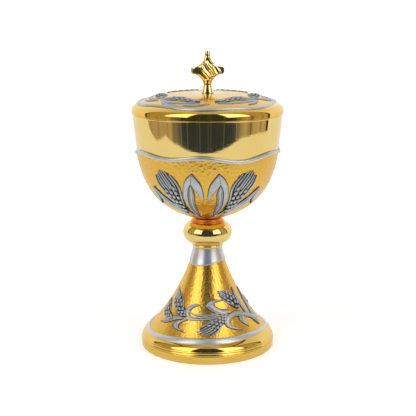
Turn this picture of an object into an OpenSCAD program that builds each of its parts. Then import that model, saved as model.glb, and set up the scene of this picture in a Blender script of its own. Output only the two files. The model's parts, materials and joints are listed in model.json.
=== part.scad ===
// Covered ciborium: a wide cup on a knopped stem and a flared foot, with a lift-off domed lid.
// Millimetres, +Z up. The origin is the centre of the foot's underside, and the front faces -Y.
// Turned shells are revolved from a few curves. Applied silver ornament is draped on those curves.

/* [Foot] */
// Outside radius of the foot's base
foot_r = 54.5; // [53:0.5:56]
// Height of the plain upright band at the bottom of the foot
plinth_h = 6.2; // [5.6:0.2:6.8]
// Radius at which the foot's flare leaves the rounded shoulder
flare_r = 50.9; // [50.5:0.1:51.3]
// Height at which the foot's flare leaves the rounded shoulder
flare_z = 12.8; // [12.5:0.1:13.1]
// Height of the seam between the polished foot ring and the hammered cone
foot_ring_h = 15.2; // [15:0.1:15.4]
// Height of the top of the hammered cone
cone_top_z = 82; // [81.5:0.1:82.5]
// Radius of the hammered cone at its top
cone_top_r = 11.2; // [11:0.1:11.6]
// Wall thickness of the hammered cone
cone_wall = 1.2; // [1:0.1:1.4]
// Number of bead rings turned above the plain band
foot_beads = 2; // [1:1:3]

/* [Stem] */
// Mean height of the sleeve's wavy lower edge
sleeve_edge_z = 69.8; // [68:0.5:72]
// Thickness of the silver sleeve
sleeve_t = 0.5; // [0.4:0.1:0.8]
// Largest radius of the knop
knop_r = 19.9; // [18.5:0.1:21]
// Radius of the knop's rounded section
knop_round_r = 9.3; // [9:0.1:9.8]
// Height of the knop's underside
knop_low_z = 84.8; // [84.4:0.1:85.2]
// Height of the knop's top
knop_top_z = 102.6; // [102.2:0.1:102.8]
// Radius of the upper collar
upper_collar_r = 11.8; // [11.4:0.1:12.4]
// Largest radius of the lower collar's rounded side
lower_collar_r = 12.7; // [12.3:0.1:13.2]

/* [Cup] */
// Height of the cup's rim
rim_z = 190.7; // [189.7:0.5:191.7]
// Outside radius of the cup's rim
rim_r = 59.4; // [58.8:0.2:59.8]
// Height of the underside of the cup's inner bowl
bowl_z = 106.9; // [106.5:0.1:107.3]
// Wall thickness of the inner bowl
bowl_wall = 1; // [0.8:0.1:1.2]
// Wall thickness of the hammered outer calyx
calyx_wall = 0.88; // [0.7:0.02:0.95]
// Mean height of the wavy silver wire round the cup
cup_wire_z = 161.7; // [160:0.1:164]
// Half the thickness of the oval silver wires on the cup and lid
wire_r = 1.15; // [0.9:0.05:1.2]
// How much broader than thick the wires are
wire_broad = 1.3; // [1:0.05:1.35]

/* [Lid] */
// Outside radius of the lid's skirt
lid_r = 60.2; // [60:0.1:60.6]
// Height of the top of the lid, under the finial
lid_top_z = 206.5; // [205.5:0.1:207.5]
// Height at which the sloping top meets the rounded shoulder
lid_slope_z = 197.7; // [197.4:0.1:198]
// Wall thickness of the lid
lid_wall = 1; // [0.9:0.1:1]
// Mean radius of the wavy silver wire on the lid
lid_wire_r = 53.8; // [52:0.1:53.9]

/* [Finial] */
// Width of the cross over its side arms
cross_w = 26; // [24:0.5:28]
// Height of the top of the cross
cross_top_z = 239.2; // [238:0.2:240]
// Thickness of the cross from front to back
cross_t = 5.6; // [4.6:0.2:6.4]

/* [Ornament] */
// Depth that soldered ornament is sunk into the shell beneath it
solder_sink = 0.3; // [0.2:0.05:0.4]
// Thickness of the silver leaves at their edges
leaf_t = 0.7; // [0.5:0.1:1]
// Extra height of a leaf's middle rib
leaf_rib = 0.5; // [0.2:0.1:0.8]

/* [Hidden] */

gold = [0.86, 0.68, 0.28];
hammered_gold = [0.82, 0.63, 0.25];
silver = [0.76, 0.77, 0.77];
steel = [0.6, 0.62, 0.64];

round_fn = 96;
wave_azimuths = [0:6:354];  // steps round every wavy edge
gap = 0.02;              // solder gap between two nested shells
grain_rise = 0.65;       // how far a grain's middle stands off, over its half height
slip = 0.05;             // running gap round a screw or a turning ring
rod_r = 4;               // tie rod, M8
rod_head_r = 9;          // flange of the cup boss and foot washer
boss_r = 7;
collar_flange_t = 1;
nut_flats = 13;
nut_h = 6.5;
screw_r = 2.5;           // finial screw, M5
seat_r = 7;              // flat seats at the centres of the lid and bowl
lower_collar_h = knop_low_z - cone_top_z;

// ---------------------------------------------------------------- curves

// Point on a cubic Bezier curve
function bez(c, t) = pow(1 - t, 3) * c[0] + 3 * pow(1 - t, 2) * t * c[1]
                   + 3 * (1 - t) * t * t * c[2] + t * t * t * c[3];
function bez_dir(c, t) = let (d = (1 - t) * (1 - t) * (c[1] - c[0])
                              + 2 * (1 - t) * t * (c[2] - c[1]) + t * t * (c[3] - c[2]))
                         d / norm(d);
// Unit normal to the right of the direction of travel
function bez_normal(c, t) = let (d = bez_dir(c, t)) [d[1], -d[0]];
// Points along a curve, moved off it by d along the normal
function offset_points(c, d, n = 28, t0 = 0, t1 = 1) =
    [for (i = [0:n]) let (t = t0 + (t1 - t0) * i / n) bez(c, t) + d * bez_normal(c, t)];
function backwards(list) = [for (i = [len(list) - 1:-1:0]) list[i]];
// Parameter at which coordinate k of a curve reaches a value, for a curve that never turns back
function t_at(c, k, value, lo = 0, hi = 1, n = 22) =
    n == 0 ? (lo + hi) / 2
    : let (mid = (lo + hi) / 2, rising = c[3][k] > c[0][k], below = bez(c, mid)[k] < value)
      rising == below ? t_at(c, k, value, mid, hi, n - 1) : t_at(c, k, value, lo, mid, n - 1);
function floor_z(points, z) = [for (p = points) [p[0], max(p[1], z)]];
function ceil_z(points, z) = [for (p = points) [p[0], min(p[1], z)]];
function arc_points(centre, r, a0, a1, n = 8) =
    [for (i = [0:n]) let (a = a0 + (a1 - a0) * i / n) centre + r * [cos(a), sin(a)]];

// Outer curve of the foot's flare, from the ring's shoulder up to the top of the cone
foot_curve = [[flare_r, flare_z], [flare_r - 9.2, flare_z + 6.4],
              [cone_top_r + 7.2, cone_top_z - 33.4], [cone_top_r, cone_top_z]];
// Outer curve of the inner bowl, from its flat underside up to the rim
bowl_curve = [[9, bowl_z], [rim_r - 9.2, bowl_z + 11.2], [rim_r - 3.9, rim_z - 47.9], [rim_r, rim_z]];
// Outer curve of the lid's top, from the finial's seat out to the shoulder
slope_r = lid_r - 2.9;
lid_curve = [[seat_r, lid_top_z], [seat_r + 19.3, lid_top_z],
             [slope_r - 16.8, lid_slope_z + 8.3], [slope_r, lid_slope_z]];

// ---------------------------------------------------------------- draping

// Point at azimuth a from the front, radius r and height z
function around(a, r, z) = [r * sin(a), -r * cos(a), z];
// Point on a shell's outer face, raised by lift along its normal. u is a height, or a radius on the lid.
on_foot = function (a, u, lift)
    let (t = t_at(foot_curve, 1, u), p = bez(foot_curve, t) + lift * bez_normal(foot_curve, t))
    around(a, p[0], p[1]);
on_calyx = function (a, u, lift)
    let (t = t_at(bowl_curve, 1, u), out = gap + calyx_wall + lift,
         p = bez(bowl_curve, t) + out * bez_normal(bowl_curve, t))
    around(a, p[0], p[1]);
on_lid = function (a, u, lift)
    let (t = t_at(lid_curve, 0, u), p = bez(lid_curve, t) - lift * bez_normal(lid_curve, t))
    around(a, p[0], p[1]);

function unit(v) = v / norm(v);
// Frame at parameter t of a spine: [point, sideways, along, outward]
function frame_at(drape, spine, t, sink = 0) =
    let (e = 0.004, lo = bez(spine, max(0, t - e)), hi = bez(spine, min(1, t + e)), c = bez(spine, t),
         along = unit(drape(hi[0], hi[1], 0) - drape(lo[0], lo[1], 0)),
         out = unit(drape(c[0], c[1], 1) - drape(c[0], c[1], 0)),
         side = unit(cross(along, out)))
    [drape(c[0], c[1], -sink), side, along, cross(side, along)];

// Closed surface through rings of points. A looped surface joins its last ring to its first.
module skin(rings, looped = false) {
    m = len(rings[0]);
    n = len(rings);
    spans = looped ? n : n - 1;
    sides = [for (i = [0:spans - 1], j = [0:m - 1], half = [0, 1])
             let (a = i * m + j, b = i * m + (j + 1) % m, k = (i + 1) % n)
             half == 0 ? [a, b, k * m + (j + 1) % m] : [a, k * m + (j + 1) % m, k * m + j]];
    caps = looped ? [] : [for (j = [1:m - 2], end = [0, 1])
                          end == 0 ? [0, j + 1, j]
                          : [(n - 1) * m, (n - 1) * m + j, (n - 1) * m + j + 1]];
    polyhedron(points = [for (r = rings, p = r) p], faces = concat(sides, caps));
}

// Half-width along a leaf: a narrow foot, a broad middle and a pointed tip
function leaf_width(w, t) = 0.25 + (w - 0.25) * pow(sin(180 * pow(t, 0.8)), 0.8);

// A ribbed leaf of half-width w along a spine of [azimuth, u] points, as a chain of convex spans.
// A leaf of a fan drifts sideways from the spine by fan at its tip, and sits slightly above its neighbour.
module leaf(drape, spine, w, n = 7, fan = 0) {
    rings = [for (i = [0:n])
             let (t = i / n, f = frame_at(drape, spine, t), s = leaf_width(w, t) * f[1], out = f[3],
                  c = f[0] + fan * (0.3 + 0.7 * t) * f[1] + 0.03 * fan * out,
                  low = -solder_sink * out, high = leaf_t * out, rib = (leaf_t + leaf_rib) * out)
             [c - s + low, c + s + low, c + s + high, c + rib, c - s + high]];
    for (i = [0:n - 1]) hull() skin([rings[i], rings[i + 1]]);
}

// A wheat grain: an ellipsoid lying along a frame
module grain(frame, side, tilt, size) {
    along = cos(tilt) * frame[2] + sin(tilt) * frame[1];
    across = cross(along, frame[3]);
    c = frame[0] + side * frame[1] + grain_rise * size[2] * frame[3];
    multmatrix([[across[0], along[0], frame[3][0], c[0]],
                [across[1], along[1], frame[3][1], c[1]],
                [across[2], along[2], frame[3][2], c[2]]])
        hull() scale(size) sphere(r = 1, $fn = 6);
}

// Stretch of a spine between two parameters, near enough to serve as a spine itself
function stretch(spine, t0, t1) = [for (k = [0:3]) bez(spine, t0 + (t1 - t0) * k / 3)];

// An ear of wheat along a spine: a stalk, rows of grains in threes, and a fan of awns at the tip
module wheat_ear(drape, spine, rows, pitch_w, size, grains_from = 0.3, grains_to = 0.72) {
    step = (grains_to - grains_from) / (rows - 1);
    for (k = [0:rows - 1]) {
        t = grains_from + step * k;
        grain(frame_at(drape, spine, t, solder_sink), 0, 0, size);
        for (s = [-1, 1])
            grain(frame_at(drape, spine, t + step / 2, solder_sink), s * pitch_w, s * 16, size);
    }
    leaf(drape, stretch(spine, 0, grains_from), 0.8, 3);
    for (s = [-1, 0, 1]) leaf(drape, stretch(spine, grains_to, 1), 0.6, 2, s * pitch_w);
}

// The other half of a pair. lean shifts it round the shell, as the pair is not quite upright.
function mirrored(spine, lean = 0) = [for (p = spine) [-p[0] - lean, p[1]]];

// ---------------------------------------------------------------- foot

// Where the seam between the foot ring and the cone lies on the flare
seam_t = t_at(foot_curve, 1, foot_ring_h);

module foot_ring() {
    bead_r = 0.72;
    step_top = [foot_r - 1.4, plinth_h + 3.5];
    step_low = [foot_r - 0.4, plinth_h];
    shoulder = [step_top, step_top + [-0.3, 1.2], [flare_r + 1.3, flare_z - 0.9], [flare_r, flare_z]];
    seam = bez(foot_curve, seam_t);
    lip_in = foot_r - 8.5;
    lip_t = 1.4;
    color(gold) rotate_extrude($fn = round_fn) {
        polygon(concat([[foot_r, 0], [foot_r, plinth_h], step_low], offset_points(shoulder, 0, 6),
                       offset_points(foot_curve, 0, 4, 0.02, seam_t),
                       [seam - [3.4, 0], seam - [3.4, 1.6], [foot_r - 4.4, plinth_h + 1.4],
                        [foot_r - 2.8, plinth_h - 1.6], [foot_r - 2.8, lip_t], [lip_in, lip_t], [lip_in, 0]]));
        for (k = [0:foot_beads - 1])
            translate(step_low + (step_top - step_low) * (k + 0.5) / foot_beads - [0.35, 0])
                circle(r = bead_r, $fn = 24);
    }
}

module foot_cone() {
    t_top = t_at(foot_curve, 1, cone_top_z - cone_wall);
    inner = floor_z(offset_points(foot_curve, -cone_wall, 28, seam_t + 0.03, t_top), foot_ring_h);
    color(hammered_gold) difference() {
        rotate_extrude($fn = round_fn)
            polygon(concat(offset_points(foot_curve, 0, 28, seam_t), [[0, cone_top_z]],
                           [[0, cone_top_z - cone_wall]], [[inner[28][0], cone_top_z - cone_wall]],
                           backwards(inner)));
        translate([0, 0, cone_top_z - 5]) cylinder(r = rod_r + slip, h = 10, $fn = round_fn);
    }
}

// The band hides the seam, and both its edges wave
function band_top(a) = foot_ring_h + 2 + 1.45 * cos(2 * (a - 20)) + 0.45 * cos(4 * (a + 30));
function band_low(a) = foot_ring_h - 1 + 0.95 * cos(2 * (a - 37)) + 0.4 * cos(4 * (a + 26));

module foot_band() {
    proud = 0.75;
    color(silver) skin([for (a = wave_azimuths) let (top = band_top(a), low = band_low(a))
        [on_foot(a, low, -solder_sink), on_foot(a, top, -solder_sink),
         on_foot(a, top, proud * 0.6), on_foot(a, (top + low) / 2, proud), on_foot(a, low, proud)]], true);
}

// Spines on the foot are [azimuth, height]. The spray repeats on the far side.
foot_ears = [[[44, 33], [52, 37], [46, 43], [27, 50]],
             [[30, 32.5], [18, 31], [4, 25.5], [-13, 22]],
             [[-32, 31.5], [-44, 33], [-56, 38], [-70, 46]]];
foot_leaf_spines = [[[30, 35], [25, 43], [12, 45.5], [-5, 40.5]],
                    [[37, 31], [26, 29], [27, 24], [42, 20.8]],
                    [[42, 29], [47, 27], [52, 25], [56, 22.3]],
                    [[-20, 33], [-14, 37], [-16, 40], [-12, 43]],
                    [[-40, 29], [-38, 25.5], [-34, 22.5], [-27, 21]],
                    [[-50, 27], [-57, 27], [-64, 24], [-71, 22]],
                    [[-62, 31], [-71, 29], [-80, 29], [-90, 32]]];
front_blade = [[62, 47], [67, 40], [71, 30], [76, 21]];

// The spray on the front of the foot and its copy at the back, which is turned a little further round
module foot_sprays() {
    for (turn = [0, 186]) rotate([0, 0, turn]) children();
}

module foot_wheat_ears() {
    color(silver) foot_sprays() for (spine = foot_ears) wheat_ear(on_foot, spine, 4, 1.9, [1.15, 2.6, 1.1]);
}

module foot_leaves() {
    color(silver) leaf(on_foot, front_blade, 2);
    color(silver) foot_sprays() {
        for (spine = foot_leaf_spines) leaf(on_foot, spine, 2);
        // straw stalks that run round the cone and tie the spray together
        for (k = [0, 1]) leaf(on_foot, [[24, 33.6 + 1.6 * k], [6, 33.5 + 1.6 * k],
                                        [-10, 30.4 + 1.6 * k], [-26, 29.8 + 1.6 * k]], 0.7, 8);
    }
}

module foot_washer() {
    color(steel) translate([0, 0, cone_top_z - cone_wall - 1.5]) difference() {
        cylinder(r = rod_head_r, h = 1.5, $fn = round_fn);
        translate([0, 0, -1]) cylinder(r = rod_r + slip, h = 4, $fn = round_fn);
    }
}

module hex_nut(flats, h, hole_r) {
    difference() {
        cylinder(r = flats / 2 / cos(30), h = h, $fn = 6);
        translate([0, 0, -1]) cylinder(r = hole_r, h = h + 2, $fn = round_fn);
    }
}

nut_top_z = cone_top_z - cone_wall - 1.5;
boss_z = [95, bowl_z];
rod_top_z = bowl_z - 2;

module tie_nut() {
    color(steel) translate([0, 0, nut_top_z - nut_h]) hex_nut(nut_flats, nut_h, rod_r + slip);
}

module tie_rod() {
    low = nut_top_z - nut_h - 3;
    color(steel) translate([0, 0, low]) cylinder(r = rod_r, h = rod_top_z - low, $fn = round_fn);
}

// ---------------------------------------------------------------- stem

function sleeve_edge(a) = sleeve_edge_z - 1.5 * cos(2 * (a + 35));

module stem_sleeve() {
    levels = 2;
    // its tilted top edge stays just under the collar
    high = cone_top_z - 0.15;
    color(silver) skin([for (a = wave_azimuths) let (low = sleeve_edge(a))
        concat([for (k = [0:levels]) on_foot(a, low + (high - low) * k / levels, gap)],
               [for (k = [levels:-1:0]) on_foot(a, low + (high - low) * k / levels, gap + sleeve_t)])],
        true);
}

module lower_collar() {
    round_r = 0.55 * lower_collar_h;
    color(gold) translate([0, 0, cone_top_z]) rotate_extrude($fn = round_fn) difference() {
        polygon(concat([[0, 0]], arc_points([lower_collar_r - round_r, lower_collar_h / 2], round_r, -64, 64),
                       [[0, lower_collar_h]]));
        translate([-1, -1]) square([rod_r + slip + 1, lower_collar_h + 2]);
    }
}

module knop() {
    mid = [knop_r - knop_round_r, (knop_low_z + knop_top_z) / 2 + 0.5];
    color(gold) rotate_extrude($fn = round_fn) difference() {
        intersection() {
            union() {
                translate(mid) circle(r = knop_round_r, $fn = round_fn);
                translate([0, knop_low_z]) square([mid[0], knop_top_z - knop_low_z]);
            }
            translate([0, knop_low_z]) square([knop_r + 1, knop_top_z - knop_low_z]);
        }
        translate([-1, boss_z[0] - 0.5]) square([boss_r + slip + 1, 20]);
        translate([-1, knop_low_z - 1]) square([rod_r + slip + 1, 20]);
    }
}

module upper_collar() {
    h = bowl_z - collar_flange_t - knop_top_z;
    lip_r = 0.75;
    color(gold) translate([0, 0, knop_top_z]) difference() {
        rotate_extrude($fn = round_fn)
            polygon(concat([[0, 0]], arc_points([upper_collar_r + lip_r, lip_r], lip_r, -90, 90),
                           [[upper_collar_r, 2 * lip_r], [upper_collar_r - 0.6, h], [0, h]]));
        translate([0, 0, -1]) cylinder(r = boss_r + slip, h = 8, $fn = round_fn);
    }
}

// ---------------------------------------------------------------- cup

module cup_boss() {
    color(steel) difference() {
        union() {
            translate([0, 0, boss_z[0]]) cylinder(r = boss_r, h = boss_z[1] - boss_z[0], $fn = round_fn);
            translate([0, 0, bowl_z - collar_flange_t])
                cylinder(r = rod_head_r, h = collar_flange_t, $fn = round_fn);
        }
        translate([0, 0, boss_z[0] - 1])
            cylinder(r = rod_r + slip, h = rod_top_z + 0.5 - boss_z[0] + 1, $fn = round_fn);
    }
}

// Three-fold wave of six crests that the cup's wire and the calyx's top edge follow
function cup_wave(a) = cup_wire_z + 1.4 * cos(6 * (a + 3)) + 0.7 * cos(3 * (a + 30));

module cup_calyx() {
    t_top = t_at(bowl_curve, 1, cup_wire_z + 2.4);
    outer = offset_points(bowl_curve, gap + calyx_wall, 28, 0, t_top);
    inner = offset_points(bowl_curve, gap, 28, 0, t_top);
    trim_r = [rim_r - 12, rim_r + 6];
    trim_top = cup_wire_z + 6;
    color(hammered_gold) difference() {
        rotate_extrude($fn = round_fn) polygon(concat(outer, backwards(inner)));
        skin([for (a = wave_azimuths)
              [around(a, trim_r[0], cup_wave(a)), around(a, trim_r[1], cup_wave(a)),
               around(a, trim_r[1], trim_top), around(a, trim_r[0], trim_top)]], true);
    }
}

module cup_liner() {
    outer = offset_points(bowl_curve, 0);
    inner = ceil_z(offset_points(bowl_curve, -bowl_wall), rim_z);
    color(gold) rotate_extrude($fn = round_fn)
        polygon(concat([[0, bowl_z]], outer, backwards(inner), [[0, inner[0][1]]]));
}

// Radius that the lid's wire follows
function lid_wave(a) = lid_wire_r + 0.95 * cos(6 * (a + 13)) + 0.9 * cos(3 * (a - 17));

module wave_wire(drape, wave, lift) {
    sides = 6;
    color(silver) skin([for (a = wave_azimuths)
        [for (k = [0:sides - 1]) let (b = 360 * k / sides)
         drape(a, wave(a) + wire_broad * wire_r * sin(b), lift + wire_r * cos(b))]], true);
}

module cup_wave_wire() { wave_wire(on_calyx, function (a) cup_wave(a), 0.1); }

// Spines on the cup are [azimuth, height], for the right half of a spray. The left half mirrors it.
cup_ear = [[11, 113.5], [23, 121], [27, 137], [42, 154]];
cup_big_leaf = [[7.5, 113], [20, 122], [20, 141], [9, 151]];
cup_fold_leaf = [[8, 147], [4.5, 144], [2, 137], [3, 129.5]];
cup_low_leaf = [[17, 113.5], [36, 116.5], [49, 123], [54, 137]];

spray_lean = 3.3;

module repeated(times) {
    for (k = [0:times - 1]) rotate([0, 0, 360 * k / times]) children();
}

module cup_wheat_ears() {
    color(silver) repeated(2) for (spine = [cup_ear, mirrored(cup_ear, spray_lean)])
        wheat_ear(on_calyx, spine, 6, 3, [1.6, 3.1, 1.6]);
}

module cup_leaves() {
    color(silver) repeated(2) for (s = [[cup_big_leaf, 3.4], [cup_fold_leaf, 1.2], [cup_low_leaf, 1.8]])
        for (spine = [s[0], mirrored(s[0], spray_lean)]) leaf(on_calyx, spine, s[1]);
}

// ---------------------------------------------------------------- lid

module lid_shell() {
    shoulder_r = 5;
    slope = bez_dir(lid_curve, 1);
    slope_a = 90 + atan2(slope[1], slope[0]);
    centre_r = lid_r - shoulder_r;
    straight = centre_r + shoulder_r * cos(slope_a) - slope_r;
    centre = [centre_r, lid_slope_z + straight * slope[1] / slope[0] - shoulder_r * sin(slope_a)];
    skirt_z = rim_z + 0.2;
    outer = offset_points(lid_curve, 0);
    inner = offset_points(lid_curve, lid_wall);
    color(gold) difference() {
        rotate_extrude($fn = round_fn)
            polygon(concat([[0, lid_top_z]], outer, arc_points(centre, shoulder_r, slope_a, 0),
                           [[lid_r, skirt_z], [lid_r - lid_wall, skirt_z]],
                           backwards(arc_points(centre, shoulder_r - lid_wall, slope_a, 0)),
                           backwards(inner), [[0, lid_top_z - lid_wall]]));
        translate([0, 0, lid_top_z - 5]) cylinder(r = screw_r + slip, h = 10, $fn = round_fn);
    }
}

module lid_locating_ring() {
    out_r = lid_r - lid_wall - slip;
    collar_r = rim_r - 2;
    ring_t = 1;
    low = rim_z - 5.2;
    high = rim_z + 2.2;
    color(gold) rotate_extrude($fn = round_fn)
        polygon([[collar_r - ring_t, low], [collar_r - 0.3, low], [collar_r, low + 0.4],
                 [collar_r, rim_z], [out_r, rim_z], [out_r, high], [out_r - ring_t, high],
                 [out_r - ring_t, rim_z + ring_t], [collar_r - ring_t, rim_z + ring_t]]);
}

module lid_wave_wire() { wave_wire(on_lid, function (a) lid_wave(a), 0.1); }

// Spines on the lid are [azimuth, radius]. The pair of ears and its leaves repeat round the lid.
lid_pairs = 3;
lid_ear = [[6, 41.5], [20, 38.5], [36, 34.5], [54, 39]];
lid_leaf_spines = [[[-18, 48], [-12, 48.5], [-6, 47.5], [0, 44.5]],
                   [[28, 46.5], [40, 41.5], [50, 44], [40, 49]],
                   [[-30, 46], [-40, 43.5], [-50, 40.5], [-58, 43]],
                   [[52, 46.5], [56, 44.5], [58.5, 42.5], [59, 38]]];

module lid_wheat_ears() {
    color(silver) repeated(lid_pairs) for (spine = [lid_ear, mirrored(lid_ear)])
        wheat_ear(on_lid, spine, 4, 2.3, [1.3, 3, 1], 0.22, 0.7);
}

module lid_leaves() {
    color(silver) repeated(lid_pairs) for (spine = lid_leaf_spines) leaf(on_lid, spine, 1.8);
}

// ---------------------------------------------------------------- finial

// Round bites out of the corners of the cross, as [centre x, centre height, radius]
upper_bite = [cross_w / 2 - 1, cross_top_z - 2.5, 10];
lower_bite = [cross_w / 2 - 0.1, lid_top_z + 4.9, 10];
arm_z = (upper_bite[1] - upper_bite[2] + lower_bite[1] + lower_bite[2]) / 2;

// Outline of the cross, with short blunt ends to its arms
module cross_outline() {
    half = cross_w / 2;
    top_half = 2;
    difference() {
        polygon([[-half, arm_z - 1.6], [-half + 1.2, lower_bite[1] + 8], [-half + 8, lower_bite[1]],
                 [half - 8, lower_bite[1]], [half - 1.2, lower_bite[1] + 8], [half, arm_z - 1.6],
                 [half, arm_z + 1.6], [half - 1.2, upper_bite[1] - 8], [top_half, upper_bite[1]],
                 [top_half, cross_top_z], [-top_half, cross_top_z], [-top_half, upper_bite[1]],
                 [-half + 1.2, upper_bite[1] - 8], [-half, arm_z + 1.6]]);
        for (s = [-1, 1], bite = [upper_bite, lower_bite])
            translate([s * bite[0], bite[1]]) circle(r = bite[2], $fn = round_fn);
    }
}

module finial_cross() {
    // the round foot flares from the waist down to the lid
    foot = [[0, 0], [4.9, 0], [4.75, 0.7], [4.3, 1.9], [3.64, 4.3], [3.2, 7.2], [0, 7.2]];
    color(gold) difference() {
        union() {
            translate([0, 0, lid_top_z]) rotate_extrude($fn = round_fn) polygon(foot);
            intersection() {
                translate([0, cross_t / 2, 0]) rotate([90, 0, 0]) linear_extrude(cross_t) cross_outline();
                translate([0, 0, arm_z]) sphere(r = 17, $fn = round_fn);
            }
        }
        translate([0, 0, lid_top_z - 1]) cylinder(r = screw_r + slip - 0.6, h = 9, $fn = round_fn);
    }
}

module finial_screw() {
    low = lid_top_z - lid_wall - 7;
    color(steel) union() {
        translate([0, 0, low]) cylinder(r = screw_r, h = lid_top_z - low, $fn = round_fn);
        translate([0, 0, low]) cylinder(r = screw_r - 0.6, h = lid_top_z + 7 - low, $fn = round_fn);
    }
}

module finial_washer() {
    color(steel) translate([0, 0, lid_top_z - lid_wall - 1.2]) difference() {
        cylinder(r = 6, h = 1.2, $fn = round_fn);
        translate([0, 0, -1]) cylinder(r = screw_r + slip, h = 4, $fn = round_fn);
    }
}

module finial_nut() {
    color(steel) translate([0, 0, lid_top_z - lid_wall - 1.2 - 4]) hex_nut(8, 4, screw_r + slip);
}

foot_ring();
foot_cone();
foot_band();
foot_wheat_ears();
foot_leaves();
foot_washer();
tie_rod();
tie_nut();
stem_sleeve();
lower_collar();
knop();
upper_collar();
cup_boss();
cup_calyx();
cup_liner();
cup_wave_wire();
cup_wheat_ears();
cup_leaves();
lid_shell();
lid_locating_ring();
lid_wave_wire();
lid_wheat_ears();
lid_leaves();
finial_cross();
finial_screw();
finial_washer();
finial_nut();
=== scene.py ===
"""Looks of the covered ciborium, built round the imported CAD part.

Lengths are millimetres until a mesh is made. Azimuth is in degrees from the front (-Y), positive to the right.
Turned pieces follow the CAD part's curves, and the ornament is modelled on them leaf by leaf.
"""

import json
import math

import bpy
import numpy as np
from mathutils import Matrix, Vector
from mathutils.kdtree import KDTree


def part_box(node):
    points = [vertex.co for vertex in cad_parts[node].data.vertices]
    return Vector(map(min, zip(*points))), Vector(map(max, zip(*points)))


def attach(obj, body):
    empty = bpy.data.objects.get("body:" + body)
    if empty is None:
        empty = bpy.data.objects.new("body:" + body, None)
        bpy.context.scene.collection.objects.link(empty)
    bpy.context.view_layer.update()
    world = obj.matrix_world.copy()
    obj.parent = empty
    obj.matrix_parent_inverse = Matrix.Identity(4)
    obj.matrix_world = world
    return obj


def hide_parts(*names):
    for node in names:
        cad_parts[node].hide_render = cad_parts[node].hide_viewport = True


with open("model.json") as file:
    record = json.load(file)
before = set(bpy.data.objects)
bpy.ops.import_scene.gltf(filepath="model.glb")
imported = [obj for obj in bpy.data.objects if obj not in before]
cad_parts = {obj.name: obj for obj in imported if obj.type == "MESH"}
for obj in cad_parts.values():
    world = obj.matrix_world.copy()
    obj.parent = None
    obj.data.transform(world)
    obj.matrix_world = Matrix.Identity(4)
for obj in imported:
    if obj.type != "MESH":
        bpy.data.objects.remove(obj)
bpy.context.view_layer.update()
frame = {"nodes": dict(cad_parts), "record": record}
MM = 0.001


# ---- measures read from the frame

def radius_at(node, z):
    """Largest radius of a CAD node near a height, both in millimetres."""
    x, y, h = np.array([v.co for v in frame["nodes"][node].data.vertices], float).T / MM
    return float(np.hypot(x, y)[np.abs(h - z) < 0.3].max())


def heights(node):
    """Lowest and highest point of a CAD node, in millimetres."""
    low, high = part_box(node)
    return low.z / MM, high.z / MM


BODY_OF = {node: body for body, nodes in frame["record"]["behaviour"]["bodies"].items() for node in nodes}
SLOT_OF = {part["node"]: part["material_slot"] for part in frame["record"]["subparts"]}
RING_LOW, RING_TOP = heights("foot_ring")
CONE_LOW, CONE_TOP = heights("foot_cone")
CONE_TOP_R = radius_at("foot_cone", CONE_TOP)
FOOT_R = radius_at("foot_ring", RING_LOW)
COLLAR_LOW, KNOP_LOW = heights("lower_collar")
KNOP_TOP = heights("knop")[1]
KNOP_R = 19.9
BOWL_LOW, RIM_Z = heights("cup_liner")
RIM_R = radius_at("cup_liner", RIM_Z)
LID_LOW, LID_TOP = heights("lid_shell")
LID_R = radius_at("lid_shell", LID_LOW)
RING_IN_LOW, RING_IN_TOP = heights("lid_locating_ring")
CROSS_TOP = heights("finial_cross")[1]
CROSS_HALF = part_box("finial_cross")[1].x / MM
FLARE_R, FLARE_Z = 50.9, 12.8   # where the foot's flare leaves the rounded shoulder
WIRE_R = 1.15                   # half the thickness of the oval wires
WIRE_BROAD = 1.3                # their breadth over their thickness
FOOT_TURNS = (0, 186)           # the foot's spray and its copy at the back, in degrees
SINK = 0.3                      # how deep the ornament is sunk in the shell under it
SPRAY_LEAN = 3.3                # how far the mirrored half of the cup's sprays is turned, in degrees
LINER_WALL = 1.0
CALYX_WALL = 0.9
LID_WALL = 1.0
CONE_WALL = 1.2
ROD_HOLE_R = 4.06               # hole round the tie rod
SPIGOT_R = 7.06                 # bore of the knop and upper collar round the cup's boss
AXIS_GAP = 0.02                 # smallest radius of a turned profile, so that no face collapses on the axis


# ---- curves and shells

def bezier(points, t):
    p, t = np.asarray(points, float), t[:, None]
    s = 1 - t
    return s ** 3 * p[0] + 3 * s * s * t * p[1] + 3 * s * t * t * p[2] + t ** 3 * p[3]


def spline(points, n):
    """n points spaced evenly in parameter along a Catmull-Rom curve through the given points."""
    p = np.asarray(points, float)
    spans = len(p) - 1
    ext = np.vstack([2 * p[0] - p[1], p, 2 * p[-1] - p[-2]])
    x = np.linspace(0, spans, n)
    i = np.minimum(x.astype(int), spans - 1)
    f = (x - i)[:, None]
    a, b, c, d = ext[i], ext[i + 1], ext[i + 2], ext[i + 3]
    return 0.5 * (2 * b + (c - a) * f + (2 * a - 5 * b + 4 * c - d) * f ** 2 + (3 * b - a - 3 * c + d) * f ** 3)


def distances(points):
    """Distance along a polyline at each of its points."""
    return np.concatenate([[0], np.cumsum(np.linalg.norm(np.diff(points, axis=0), axis=1))])


def even(points, n):
    """Resample a polyline to n points at even distances."""
    s = distances(points)
    x = np.linspace(0, s[-1], n)
    return np.stack([np.interp(x, s, column) for column in points.T], 1)


def dense(points, step):
    """A polyline with no segment longer than step, corners kept."""
    p = np.asarray(points, float)
    out = []
    for a, b in zip(p[:-1], p[1:]):
        n = max(1, math.ceil(np.linalg.norm(b - a) / step))
        out += [a + (b - a) * k / n for k in range(n)]
    return np.array(out + [p[-1]])


def distinct(points):
    """A polyline without repeated points, which would spoil the shading of a turned piece."""
    return points[np.concatenate([[True], np.diff(distances(points)) > 1e-3])]


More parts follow.
